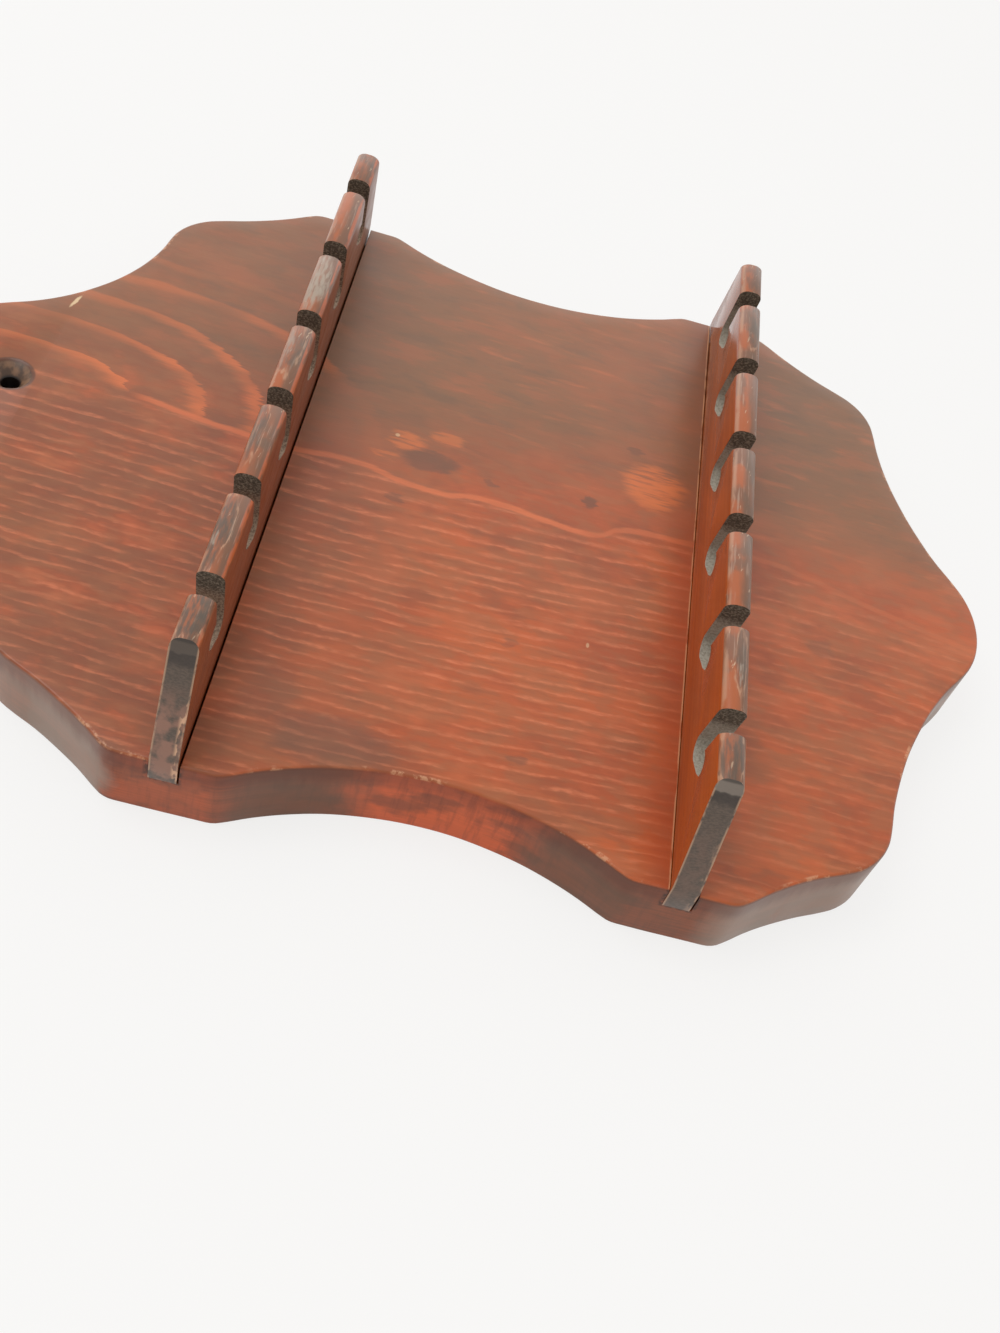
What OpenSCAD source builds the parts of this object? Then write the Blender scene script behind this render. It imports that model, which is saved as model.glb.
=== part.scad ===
// Wall-hung spoon rack: a scalloped back board with two slotted rails let into its face.
// The rack lies on its back. +X runs along the rails, +Y points up the wall and
// +Z points into the room. The origin is the hanging hole at the board's back face.

/* [Back board] */
// Thickness of the back board
board_t = 19; // [15:0.5:25]
// Width of the board across the straight ends of its edge at the rails
board_w = 212; // [204:1:226]
// Straight stretch of the board's edge at each rail end
rail_end_flat = 21; // [14:0.5:26]
// Radius of the corners beside that straight stretch
rail_end_r = 7; // [5:0.5:10]
// Radius of the long hollow in each side between the rails
waist_r = 89; // [75:1:110]
// Distance across the board between the centres of its corner lobes
corner_span = 144; // [136:1:150]
// Distance from a rail out to the centres of the nearest corner lobes
corner_out = 31.5; // [29:0.5:36]
// Radius of the corner lobes
corner_r = 19; // [15:0.5:22]
// Radius of the hollow between a rail end and a corner lobe
flank_r = 105; // [85:1:140]
// Reach of the foot lobe below the lower rail
foot_reach = 78; // [72:0.5:84]
// Radius of the foot lobe
foot_r = 30; // [24:0.5:36]
// Radius of the hollow beside the foot lobe
foot_hollow_r = 113; // [95:1:140]
// Reach of the crown lobe above the upper rail
crown_reach = 97; // [90:0.5:102]
// Radius of the crown lobe
crown_r = 32; // [26:0.5:36]
// Radius of the hollow beside the crown lobe
crown_hollow_r = 59; // [50:1:75]
// Rounding of the board's front edge
front_round = 1; // [0.5:0.25:4]
// Chamfer of the board's back edge
back_chamfer = 0.75; // [0.25:0.25:2]

/* [Hanging hole] */
// Distance from the upper rail up to the hanging hole
hole_above_rail = 71; // [64:0.5:78]
// Diameter of the hanging hole
hole_d = 4.8; // [3.5:0.1:6]
// Diameter of its countersink at the board's face
sink_d = 11.5; // [8:0.5:14]
// Included angle of the countersink
sink_angle = 90; // [80:1:100]

/* [Rails] */
// Distance between the two rails
rail_spacing = 116.8; // [108:0.2:126]
// Thickness of a rail
rail_t = 6.4; // [5:0.2:8]
// Height of a rail above the board's face
rail_h = 30.5; // [27:0.5:36]
// Length of a rail's front edge
rail_front_l = 192; // [186:1:202]
// Height above the board's face where a rail's end starts to slope
rail_heel = 1.5; // [0.5:0.5:4]
// Rounding of a rail's front edges
rail_round = 2; // [0.5:0.1:2.4]
// Depth of the grooves that hold the rails
groove_depth = 6.3; // [4:0.1:9]
// Clearance between a rail and the upper side of its groove, against which it sits
groove_fit = 0.1; // [0.05:0.05:0.3]
// Slack between a rail and the lower side of its groove
groove_slack = 0.8; // [0.1:0.1:1.5]

/* [Hook slots] */
// Number of hook slots in each rail
slot_count = 6; // [1:1:6]
// Distance from slot to slot
slot_pitch = 31.75; // [26:0.25:33]
// Width of a slot
slot_w = 6.6; // [5:0.1:8]
// Lean of a slot's entry away from the way its hook turns
slot_lean = 14; // [0:1:18]
// Depth of a slot's elbow below the rail's front edge
elbow_depth = 16.7; // [12:0.1:18]
// Offset of a slot's elbow along the rail
elbow_offset = 3.4; // [0:0.1:5]
// Length of the hook beyond the slot's inner corner
hook_l = 0.4; // [0.2:0.1:3]
// Rise of the hook towards its end
hook_rise = 22; // [0:1:30]

/* [Brads] */
// Number of brads that hold each rail
brad_count = 3; // [2:1:3]
// Number of slots from one brad to the next
slots_per_brad = 2; // [1:1:2]
// Depth to which a brad bites into its rail
brad_bite = 12; // [8:0.5:14]
// Diameter of a brad
brad_d = 1.6; // [1.2:0.1:2]
// Diameter of a brad's head
brad_head_d = 2.8; // [2.4:0.1:3.4]
// Thickness of a brad's head
brad_head_t = 0.8; // [0.6:0.1:1.2]
// Depth to which a brad's head is set below the back face
brad_set = 0.3; // [0:0.1:1]
// Clearance round a brad in its hole
brad_gap = 0.05; // [0.02:0.01:0.1]

/* [Hidden] */

// Fineness of round holes, and steps in degrees along lobes, hollows, rounded edges and slots
$fn = 96;
lobe_step = 12;
hollow_step = 4;
round_step = 30;
slot_step = 10;
// How far a cut runs past the surface that it opens
overcut = 1;

upper_y = -hole_above_rail;
lower_y = upper_y - rail_spacing;
half_w = board_w / 2;
groove_floor = board_t - groove_depth;
sink_depth = (sink_d - hole_d) / 2 / tan(sink_angle / 2);
brad_l = groove_floor - brad_set + brad_bite;

// The lobes up the outline's right half, from the foot to the crown: x, y and radius
lobes = [
    [0, lower_y - foot_reach + foot_r, foot_r],
    [corner_span / 2, lower_y - corner_out, corner_r],
    [half_w - rail_end_r, lower_y - rail_end_flat / 2, rail_end_r],
    [half_w - rail_end_r, lower_y + rail_end_flat / 2, rail_end_r],
    [half_w - rail_end_r, upper_y - rail_end_flat / 2, rail_end_r],
    [half_w - rail_end_r, upper_y + rail_end_flat / 2, rail_end_r],
    [corner_span / 2, upper_y + corner_out, corner_r],
    [0, upper_y + crown_reach - crown_r, crown_r]
];

// The radius of the hollow after each lobe, where 0 is a straight edge
hollows = [foot_hollow_r, flank_r, 0, waist_r, 0, flank_r, crown_hollow_r];
crown = len(hollows);

function flat(p) = [p.x, p.y];
function heading(v) = atan2(v.y, v.x);

// Centre of the hollow after lobe i, which touches that lobe and the next from outside
function hollow_centre(i) =
    let (
        a = lobes[i],
        b = lobes[i + 1],
        span = flat(b) - flat(a),
        d = norm(span),
        reach_a = a.z + hollows[i],
        reach_b = b.z + hollows[i],
        along = (reach_a * reach_a - reach_b * reach_b + d * d) / (2 * d),
        out = sqrt(reach_a * reach_a - along * along)
    )
    flat(a) + span / d * along + [span.y, -span.x] / d * out;

// Direction from lobe i to the point where it touches the edge that follows lobe e
function touch(i, e) =
    hollows[e] > 0
    ? heading(hollow_centre(e) - flat(lobes[i]))
    : heading([lobes[e + 1].y - lobes[e].y, lobes[e].x - lobes[e + 1].x]);

// Directions in which a lobe's arc starts and ends, square to the centre line at the foot and crown
function arc_start(i) = i == 0 ? -90 : touch(i, i - 1);
function arc_end(i) = i == crown ? 90 : touch(i, i);

// Points along an arc, both ends included
function arc(centre, r, from, to, step) =
    let (n = ceil(abs(to - from) / step))
    [for (k = [0 : n]) let (a = from + (to - from) * k / n) centre + r * [cos(a), sin(a)]];

// A list without its first and last entries
function inner(list) = [for (k = [1 : len(list) - 2]) list[k]];

function lobe_arc(i, inset) = arc(flat(lobes[i]), lobes[i].z - inset, arc_start(i), arc_end(i), lobe_step);

// A hollow faces the board from outside, so its arc lies on the far side of the touching directions
function hollow_arc(i, inset) =
    let (
        from = touch(i, i) + 180,
        to = touch(i + 1, i) + 180,
        turn = (to - from + 540) % 360 - 180
    )
    inner(arc(hollow_centre(i), hollows[i] + inset, from, from + turn, hollow_step));

// The right half of the outline drawn in by an inset: lobes shrink and hollows grow where they are
function half_outline(inset) = [
    for (i = [0 : crown])
        each concat(lobe_arc(i, inset), i < crown && hollows[i] > 0 ? hollow_arc(i, inset) : [])
];

// The whole outline at a height, mirrored across the centre line
function ring(inset, z) =
    let (right = half_outline(inset), m = len(right) - 1)
    concat(
        [for (p = right) [p.x, p.y, z]],
        [for (k = [m - 1 : -1 : 1]) [-right[k].x, right[k].y, z]]
    );

// The section of the board's edge from back to front: inset and height
edge_section = concat(
    [[back_chamfer, 0], [0, back_chamfer]],
    [for (a = [0 : round_step : 90]) [front_round * (1 - cos(a)), board_t - front_round * (1 - sin(a))]]
);

// A solid through mirrored rings, closed at both ends by strips across the centre line
module skin(rings) {
    n = len(rings[0]);
    last = (len(rings) - 1) * n;
    strips = [for (k = [0 : n / 2 - 1]) [k, k + 1, n - k - 1, (n - k) % n]];
    polyhedron(
        points = [for (r = rings) each r],
        faces = concat(
            strips,
            [for (j = [0 : n : last - n], k = [0 : n - 1])
                let (m = (k + 1) % n) [j + k, j + n + k, j + n + m, j + m]],
            [for (s = strips) [for (k = [3 : -1 : 0]) last + s[k]]]
        )
    );
}

module board_blank() {
    skin([for (e = edge_section) ring(e.x, e.y)]);
}

module hanging_hole() {
    translate([0, 0, -overcut])
        cylinder(h = board_t + 2 * overcut, d = hole_d);
    translate([0, 0, board_t - sink_depth])
        cylinder(h = sink_depth, d1 = hole_d, d2 = sink_d);
    translate([0, 0, board_t])
        cylinder(h = overcut, d = sink_d);
}

module groove(y) {
    width = groove_slack + rail_t + groove_fit;
    translate([-half_w - overcut, y - rail_t / 2 - groove_slack, groove_floor])
        cube([board_w + 2 * overcut, width, groove_depth + overcut]);
}

// Places its children at the brads of the rail at y, midway between hook slots
module along_brads(y) {
    pitch = slots_per_brad * slot_pitch;
    for (i = [0 : brad_count - 1])
        translate([(i - (brad_count - 1) / 2) * pitch, y, brad_set])
            children();
}

// One brad standing on its head, grown by a clearance when it cuts its own hole
module brad(gap) {
    head_r = brad_head_d / 2 + gap;
    shank_r = brad_d / 2 + gap;
    rotate_extrude()
        polygon([
            [0, 0],
            [head_r, 0],
            [head_r, brad_head_t],
            [shank_r, brad_head_t],
            [shank_r, brad_l - brad_d + gap],
            [0, brad_l + gap]
        ]);
}

module brad_hole() {
    brad(brad_gap);
    translate([0, 0, -brad_set - overcut])
        cylinder(h = brad_set + overcut, d = brad_head_d + 2 * brad_gap);
}

module back_board() {
    color("sienna")
        difference() {
            board_blank();
            hanging_hole();
            for (y = [upper_y, lower_y]) {
                groove(y);
                along_brads(y) brad_hole();
            }
        }
}

// Hook slot: down from its mouth in the rail's front edge to the elbow, then along to the hook's end
module hook_slot() {
    r = slot_w / 2;
    turn = slot_lean + hook_rise;
    // The inner corner lies as far from the elbow along the entry as along the hook
    bend = r * (1 + sin(turn)) / cos(turn);
    entry = [-sin(slot_lean), cos(slot_lean)];
    side = r * [cos(slot_lean), sin(slot_lean)];
    elbow = [elbow_offset, -elbow_depth];
    mouth = elbow + (elbow_depth + slot_w) / cos(slot_lean) * entry;
    hook_end = elbow + (bend + hook_l) * [-cos(hook_rise), sin(hook_rise)];
    polygon(concat(
        [mouth - side, elbow + bend * entry - side],
        arc(hook_end, r, 90 - hook_rise, 270 - hook_rise, slot_step),
        arc(elbow, r, 270 - hook_rise, 360 + slot_lean, slot_step),
        [mouth + side]
    ));
}

// A rail seen square on, with its base at the floor of the groove
module rail_face() {
    difference() {
        polygon([
            [-half_w, -groove_depth],
            [half_w, -groove_depth],
            [half_w, rail_heel],
            [rail_front_l / 2, rail_h],
            [-rail_front_l / 2, rail_h],
            [-half_w, rail_heel]
        ]);
        for (i = [0 : slot_count - 1])
            translate([(i - (slot_count - 1) / 2) * slot_pitch, rail_h])
                hook_slot();
    }
}

// A rail seen from its end, with both edges of its front rounded
module rail_section() {
    side = rail_t / 2 - rail_round;
    top = rail_h - rail_round;
    polygon(concat(
        [[-rail_t / 2, -groove_depth], [rail_t / 2, -groove_depth]],
        arc([side, top], rail_round, 0, 90, round_step / 2),
        arc([-side, top], rail_round, 90, 180, round_step / 2)
    ));
}

module rail(y) {
    difference() {
        translate([0, y, board_t])
            intersection() {
                translate([0, rail_t / 2, 0])
                    rotate([90, 0, 0]) linear_extrude(rail_t) rail_face();
                translate([-half_w, 0, 0])
                    rotate([90, 0, 90]) linear_extrude(board_w) rail_section();
            }
        along_brads(y) brad_hole();
    }
}

module upper_rail() { color("saddlebrown") rail(upper_y); }
module lower_rail() { color("saddlebrown") rail(lower_y); }
module upper_rail_brads() { color("silver") along_brads(upper_y) brad(0); }
module lower_rail_brads() { color("silver") along_brads(lower_y) brad(0); }

back_board();
upper_rail();
lower_rail();
upper_rail_brads();
lower_rail_brads();
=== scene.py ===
"""Looks of a wooden spoon rack that lies on its back: a scalloped board, two slotted rails and hidden brads.

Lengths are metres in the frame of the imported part. Materials work in millimetres in the same frame.
The board's crown, with the hanging hole, points along +Y, and its foot along -Y.
"""
import bmesh
import bpy
import math
from collections import namedtuple
from mathutils import Matrix, Vector, kdtree, noise


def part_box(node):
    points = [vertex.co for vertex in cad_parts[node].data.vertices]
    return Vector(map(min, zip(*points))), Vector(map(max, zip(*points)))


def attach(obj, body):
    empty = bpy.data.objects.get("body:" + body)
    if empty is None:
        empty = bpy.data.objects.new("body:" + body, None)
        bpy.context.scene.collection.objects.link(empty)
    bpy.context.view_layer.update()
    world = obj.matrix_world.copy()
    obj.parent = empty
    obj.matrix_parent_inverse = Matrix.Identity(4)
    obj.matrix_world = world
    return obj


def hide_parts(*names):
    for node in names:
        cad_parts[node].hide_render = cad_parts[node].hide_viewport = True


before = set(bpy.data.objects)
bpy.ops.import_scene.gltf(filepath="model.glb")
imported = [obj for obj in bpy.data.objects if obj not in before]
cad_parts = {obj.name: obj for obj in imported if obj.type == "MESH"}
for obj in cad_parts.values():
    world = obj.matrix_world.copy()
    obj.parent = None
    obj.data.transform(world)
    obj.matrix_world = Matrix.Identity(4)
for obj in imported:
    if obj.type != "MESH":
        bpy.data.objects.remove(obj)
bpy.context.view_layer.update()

MM = 0.001

# Points closer than this count as one
TOUCH = 1e-6

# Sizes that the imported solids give
board_low, board_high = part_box("back_board")
upper_low, upper_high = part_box("upper_rail")
lower_low, lower_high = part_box("lower_rail")
FACE_Z = board_high.z
FACE_MM = FACE_Z / MM
RAIL_TOP = upper_high.z
RAIL_HALF = (upper_high.y - upper_low.y) / 2
UPPER_Y = (upper_low.y + upper_high.y) / 2
LOWER_Y = (lower_low.y + lower_high.y) / 2

# Board outline: spacing of its points, and the longest step between packed points that is still a curve
OUTLINE_STEP = 1.4 * MM
LONGEST_CURVE_SPAN = 10 * MM

# Board edge from its eased back to its rounded front, with the angles in degrees of the rings round each
BACK_EASE = 0.75 * MM
BACK_TURNS = (0, 30, 60, 90)
EDGE_HEIGHTS = (5 * MM, 9 * MM, 13 * MM)
FRONT_ROUND = 1.0 * MM
FRONT_TURNS = range(0, 91, 15)
FACE_BAND = 6 * MM

# Uneven wear of the board's edge and of its front round: its depth, and lumps of noise to a metre
EDGE_WAVER = 0.12 * MM
EDGE_LUMPS = 90
TOP_WAVER_Z = 17 * MM
ROUND_WAVER = 0.22
ROUND_LUMPS = 60
ROUND_SLICE = 0.3

# Heights between which the mark of the board's front edge sets in
RIM_LOW = 14 * MM
RIM_RISE = 3 * MM

# Grooves of the board
GROOVE_FIT = 0.1 * MM
GROOVE_SLACK = 0.45 * MM
GROOVE_EASE = 0.12 * MM
GROOVE_OVERCUT = 5 * MM

# Holes of the board
HOLE_R = 2.4 * MM
SINK_R = 5.75 * MM
SINK_LIP = 0.2 * MM
SINK_WEAR = 0.5 * MM
BRAD_PITCH = 63.5 * MM
BRAD_STEPS = (-1, 0, 1)
BRAD_SHANK_R = 0.85 * MM
BRAD_HEAD_R = 1.45 * MM
BRAD_HEAD_DEPTH = 1.1 * MM
BORE_OVERCUT = 3 * MM
BORE_SIDES = 64

# Rails' worn rounded front, and easing of their arrises, of the near lips of the slots and of inner corners
WORN_ROUND = 2.6 * MM
ARRIS_EASE = 0.3 * MM
LIP_EASE = 1.2 * MM
EASE_SEGMENTS = 3

# Hook slots, and how far from the rail's middle their stretch ends
SLOT_PITCH = 31.75 * MM
SLOT_COUNT = 6
SLOTTED_HALF = 92 * MM

# Hook tips: where they point along X and Z, how far from its mouth's middle each is trimmed flat, and the
# limits of the trimming round the mouth and above the board's face
TIP_WAY = Vector((-0.645, -0.764))
TIP_REACH = 15.3 * MM
TIP_LIMIT = SLOT_PITCH / 2 + 5 * MM
TIP_CLEARANCE = 1 * MM

# Depths below a rail's front: its skin, its mouths' lips, where all cross faces are sawn, and inner corners
SKIN_DEPTH = 0.25 * MM
MOUTH_DEPTH = 2.05 * MM
SAWN_DEPTH = 3 * MM
CORNER_DEPTHS = (9 * MM, 13 * MM)

# Parts of a unit direction: above the first it lies along an axis, below the second a face is no side
# of a rail, and above the third it is steep
ALONG_AXIS = 0.9
SIDE_NORMAL = 0.6
STEEP_NORMAL = 0.3

# Angles in degrees: flat faces to make whole, arrises to ease, and edges that stay sharp in shading
FLAT_DEGREES = 1
ARRIS_DEGREES = 28
BOARD_SHARP = 35
OTHER_SHARP = 40

# Camera found from the photograph: place, the image's right and down directions, and focal length in pixels
CAMERA_PLACE = Vector((-0.28762, -0.10902, 0.28346))
CAMERA_RIGHT = Vector((0.13558, -0.96450, 0.22663))
CAMERA_DOWN = Vector((-0.74060, -0.25060, -0.62347))
FOCAL_PIXELS = 1470
LONG_SIDE_PIXELS = 1333
SENSOR_MM = 36

# Room light: strength behind the camera, ahead of it, of the window beyond, and as the camera sees it
ROOM_COLOUR = (1.0, 0.99, 0.98, 1.0)
ROOM_BEHIND = 0.68
ROOM_AHEAD = 1.0
WINDOW = 0.9
ROOM_SEEN = 0.94

# Soft lamp above the rack
KEY_PLACE = (0.05, 0.45, 1.2)
KEY_TARGET = (0, -0.12, 0)
KEY_SIZE = 0.9
KEY_WATTS = 6

# Floor: two tones of its paper, its glow towards the camera and that glow's share
FLOOR_TONES = ((0.78, 0.775, 0.77, 1.0), (0.80, 0.795, 0.79, 1.0))
FLOOR_WHITE = (0.95, 0.943, 0.932, 1.0)
FLOOR_GLOW = 0.85
FLOOR_SIZE = 20.0
FLOOR_DROP = 0.2 * MM

# Depth of the relief in each material
BOARD_RELIEF = 0.012 * MM
RAIL_RELIEF = 0.05 * MM
BRAD_RELIEF = 0.01 * MM

# Noise: how far a seed shifts it along X, Y and Z, and the stretch that makes it fill its range
SEED_SHIFT = (1.0, 0.7, 1.3)
NOISE_STRETCH = 2.6


def srgb(red, green, blue):
    """A colour as it looks on screen, turned into the linear values that shader sockets take."""
    def linear(part):
        part = part / 255
        return part / 12.92 if part <= 0.04045 else ((part + 0.055) / 1.055) ** 2.4
    return (linear(red), linear(green), linear(blue), 1.0)


class Net:
    """A node tree with short calls that add a node and return its output."""

    def __init__(self, owner):
        self.owner = owner
        owner.use_nodes = True
        self.nodes = owner.node_tree.nodes
        self.links = owner.node_tree.links
        self.nodes.clear()

    def node(self, kind, **settings):
        made = self.nodes.new("ShaderNode" + kind)
        for key, value in settings.items():
            setattr(made, key, value)
        return made

    def feed(self, socket, value):
        """Links an output to a socket, or sets a plain value on it."""
        if isinstance(value, bpy.types.NodeSocket):
            self.links.new(value, socket)
        else:
            socket.default_value = value

    def fill(self, made, **parts):
        """Feeds a node's inputs by name, with _ for a space in a name, and returns its first output."""
        for name, part in parts.items():
            self.feed(made.inputs[name.replace("_", " ")], part)
        return made.outputs[0]

    def math(self, operation, *values):
        made = self.node("Math", operation=operation)
        for socket, value in zip(made.inputs, values):
            self.feed(socket, value)
        return made.outputs[0]

    def chain(self, operation, values):
        """One operation over several values, from the first to the last."""
        total = values[0]
        for value in values[1:]:
            total = self.math(operation, total, value)
        return total

    def add(self, *values):
        return self.chain("ADD", values)

    def times(self, *values):
        return self.chain("MULTIPLY", values)

    def most(self, *values):
        return self.chain("MAXIMUM", values)

    def length(self, across, along):
        """The distance that two parts at right angles make."""
        return self.math("SQRT", self.math("MULTIPLY_ADD", across, across, self.times(along, along)))

    def ease(self, value, start, stop, low=0.0, high=1.0):
        """A smooth step from low to high while the value goes from start to stop."""
        made = self.node("MapRange", interpolation_type="SMOOTHSTEP")
        return self.fill(made, Value=value, From_Min=start, From_Max=stop, To_Min=low, To_Max=high)

    def between(self, value, start, full, fade, stop):
        """1 from full to fade, and smoothly down to 0 at start and at stop."""
        return self.times(self.ease(value, start, full), self.ease(value, stop, fade))

    def split(self, vector):
        made = self.node("SeparateXYZ")
        self.feed(made.inputs[0], vector)
        return tuple(made.outputs)

    def join(self, x, y, z):
        return self.fill(self.node("CombineXYZ"), X=x, Y=y, Z=z)

    def curve(self, value, points):
        """A smooth curve through the points, which list where and how high in rising order."""
        low, high = points[0][0], points[-1][0]
        heights = [height for _, height in points]
        bottom, top = min(heights), max(heights)
        made = self.node("FloatCurve")
        knots = made.mapping.curves[0].points
        scaled = [((at - low) / (high - low), (height - bottom) / (top - bottom)) for at, height in points]
        knots[0].location = scaled[0]
        knots[1].location = scaled[-1]
        for at, height in scaled[1:-1]:
            knots.new(at, height)
        made.mapping.update()
        along = self.math("MULTIPLY_ADD", value, 1 / (high - low), -low / (high - low))
        self.feed(made.inputs["Value"], along)
        return self.math("MULTIPLY_ADD", made.outputs[0], top - bottom, bottom)


class MaterialNet(Net):
    """A material's node tree with its seed, and the surface point in millimetres as mm and x, y, z."""

    def __init__(self, name, seed=0.0):
        super().__init__(bpy.data.materials.new(name))
        self.seed = seed
        place = self.node("TexCoord").outputs["Object"]
        self.mm = self.fill(self.node("VectorMath", operation="SCALE"), Vector=place, Scale=1 / MM)
        self.x, self.y, self.z = self.split(self.mm)

    def noise(self, cell, detail=3.0, roughness=0.5, seed=0.0, at=None):
        """Noise from 0 to 1 with lumps of about the cell's millimetres, at the surface or another point."""
        made = self.node("VectorMath", operation="MULTIPLY_ADD")
        self.feed(made.inputs[0], self.mm if at is None else at)
        made.inputs[1].default_value = [1 / side for side in cell]
        made.inputs[2].default_value = [shift * (self.seed + seed) for shift in SEED_SHIFT]
        texture = self.node("TexNoise")
        return self.fill(texture, Vector=made.outputs[0], Scale=1, Detail=detail, Roughness=roughness)

    def swing(self, cell, amount, **options):
        """Noise around zero that reaches about the amount either way."""
        lumps = self.noise(cell, **options)
        return self.math("MULTIPLY_ADD", lumps, NOISE_STRETCH * amount, -NOISE_STRETCH / 2 * amount)

    def mix(self, factor, first, second):
        """A blend of two colours, by the sockets that this node has for colours."""
        made = self.node("Mix", data_type="RGBA", blend_type="MIX")
        self.feed(made.inputs[0], factor)
        self.feed(made.inputs[6], first)
        self.feed(made.inputs[7], second)
        return made.outputs[2]

    def coat(self, colour, share, *tone):
        """Lays a screen colour over another colour, by a share from 0 to 1."""
        return self.mix(share, colour, srgb(*tone))

    def attribute(self, name):
        return self.node("Attribute", attribute_name=name).outputs["Fac"]

    def blot(self, x, y, place, reach):
        """A soft-edged oval mark: 1 at its place, 0 beyond its reach, in millimetres along X and Y."""
        dx = self.math("MULTIPLY_ADD", x, 1 / reach[0], -place[0] / reach[0])
        dy = self.math("MULTIPLY_ADD", y, 1 / reach[1], -place[1] / reach[1])
        square = self.math("MULTIPLY_ADD", dx, dx, self.times(dy, dy))
        return self.ease(square, 1.0, 0.25)

    def blots(self, x, y, marks):
        """The strongest of several marks, each a place, a reach and a strength."""
        return self.most(*[
            self.times(self.blot(x, y, place, reach), strength) for place, reach, strength in marks
        ])

    def surface(self, colour, roughness, height, depth, **fixed):
        """A principled surface; height from 0 to 1 stands for a relief that is depth metres high."""
        bump = self.fill(self.node("Bump"), Strength=1, Distance=depth, Height=height)
        shader = self.node("BsdfPrincipled")
        shine = self.fill(shader, Base_Color=colour, Roughness=roughness, Normal=bump, **fixed)
        self.feed(self.node("OutputMaterial").inputs["Surface"], shine)
        return self.owner


class RailNet(MaterialNet):
    """A rail's wood, with the height from the rail's front and the distance sideways off its middle."""

    def __init__(self, look, centre_y):
        super().__init__(look.name, look.seed)
        self.from_front = self.add(self.z, -RAIL_TOP / MM)
        self.sideways = self.add(self.y, -centre_y / MM)


# Growth lines of the board. One strong line runs down its middle, as points along Y and across X
MIDDLE_LINE = (
    (-270, -9), (-252, -5), (-230, 0), (-215, 4), (-200, 6), (-184, 4.7), (-170, 4), (-162, 2), (-154, -2),
    (-145, -1.4), (-125, 0.4), (-115, -1.6), (-103, -0.8), (-89, 1.8), (-75, 0.5), (-60, 1), (-45, 2.5),
    (-28, 4.6), (30, 5.5),
)

# Lines on its near side follow a calmer path. They are spaced wider within reach of the middle, by a share
NEAR_PATH = ((-270, -9), (-215, 3), (-100, 0), (-28, 4), (30, 5.5))
LINE_PITCH = 3.1
LINE_SHEAR = 0.12
MIDDLE_REACH = 24.0
MIDDLE_SHARE = 0.48
UNEVEN_LENGTH = 8.0
UNEVEN_SHIFT = 0.7

# Arches of the far half: Y of the tip, half width, Y where the arms run straight, where the inner side fades
# as a share of the width, and strength
ARCH_X = 5.0
ARCHES = (
    (-29, 11, 0, 0.68, 1),
    (-49.5, 23, -8, 0.84, 1),
    (-65, 36, -12, 0.88, 0.9),
    (-97, 47.7, -27, 0.90, 0.95),
    (-117, 58, -40, 0.92, 0.4),
)

# Marks on the board's face: place (X, Y) and reach in millimetres, and strength
SMUDGES = (
    ((9.5, -110), (5, 9), 0.9),
    ((-89, -104), (9, 18), 0.7),
    ((-80, -88), (10, 8), 0.35),
    ((7, -127), (1.8, 2.0), 0.6),
    ((10.5, -154), (2.6, 2.8), 0.9),
    ((36, -166), (2.2, 3.2), 0.6),
    ((-7.4, -104), (2.4, 3.0), 0.6),
    ((-47, -140), (2.2, 2.4), 0.4),
    ((-81, -146), (2.2, 2.2), 0.5),
    ((-21, -220), (4, 4), 0.4),
    ((-61, -242), (3, 3), 0.4),
)
BARE_PATCHES = (
    ((23, -172), (11, 11), 1.0),
    ((15, -103), (4, 7), 0.75),
    ((20, -113), (3, 6), 0.6),
    ((7.5, -98), (2, 5), 0.6),
)
PALE_NICKS = (
    ((16.4, -99.8), (0.8, 0.8), 0.55),
    ((-41, -159), (1.0, 0.5), 0.5),
)

# One pale scratch beside the crown, and how it slopes: Y falls by the slope times X, less the shift
PALE_SCRATCH = (((35, -6), (3.4, 0.6), 1.0),)
SCRATCH_SLOPE = 0.25
SCRATCH_SHIFT = 9.0

# Marks on the board's edge, listed in the same way; the grey ones are painted sheen
RED_EDGES = (
    ((-92, -131), (24, 40), 0.65),
    ((-106, -71), (8, 12), 0.4),
)
DARK_EDGES = (
    ((-92, -94), (20, 25), 0.85),
    ((-99, -168), (18, 20), 0.8),
    ((-106, -187), (10, 14), 0.6),
    ((-106, -71), (10, 12), 0.35),
)
PAINTED_SHEEN_EDGES = (
    ((-70, -34), (46, 36), 0.75),
    ((-98, -46), (24, 16), 0.85),
    ((-100, -206), (16, 14), 0.85),
    ((-80, -222), (30, 24), 0.85),
    ((84, -222), (36, 24), 0.5),
    ((60, -24), (40, 30), 0.4),
    ((-26, -256), (22, 14), 0.85),
)

# Slope of the chips along a rail's front
CHIP_SLOPE = 0.2

# What sets a rail's wood apart: material name, noise seed, colour and width of the strip along its front on
# the foot side (rubbed on the upper rail, a painted highlight of the arris on the lower), colour of its
# ends' tips, how foxed its ends are, grey worn places and pale places on its front, and two colours of the
# dust in its hooks. A place lists X and the distance off the middle, its reach and its strength
RailLook = namedtuple("RailLook", "name seed strip strip_width tip foxed greys pales dust")
UPPER_LOOK = RailLook(
    name="rail_wood_upper",
    seed=0.0,
    strip=srgb(192, 98, 54),
    strip_width=1.0,
    tip=srgb(84, 72, 62),
    foxed=1.0,
    greys=(
        ((-89, 0.2), (10, 3.6), 0.9),
        ((-63, 1.4), (15, 2.6), 0.85),
        ((-30, 1.8), (14, 2.0), 0.7),
        ((2, 0.4), (14, 2.6), 0.5),
        ((88, 0.0), (9, 3.0), 0.5),
    ),
    pales=(
        ((31, 0.8), (15, 3.4), 0.8),
        ((4, 2.4), (12, 1.2), 0.5),
        ((-66, 1.8), (4, 0.7), 0.7),
    ),
    dust=(srgb(100, 78, 62), srgb(146, 124, 104)),
)
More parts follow.
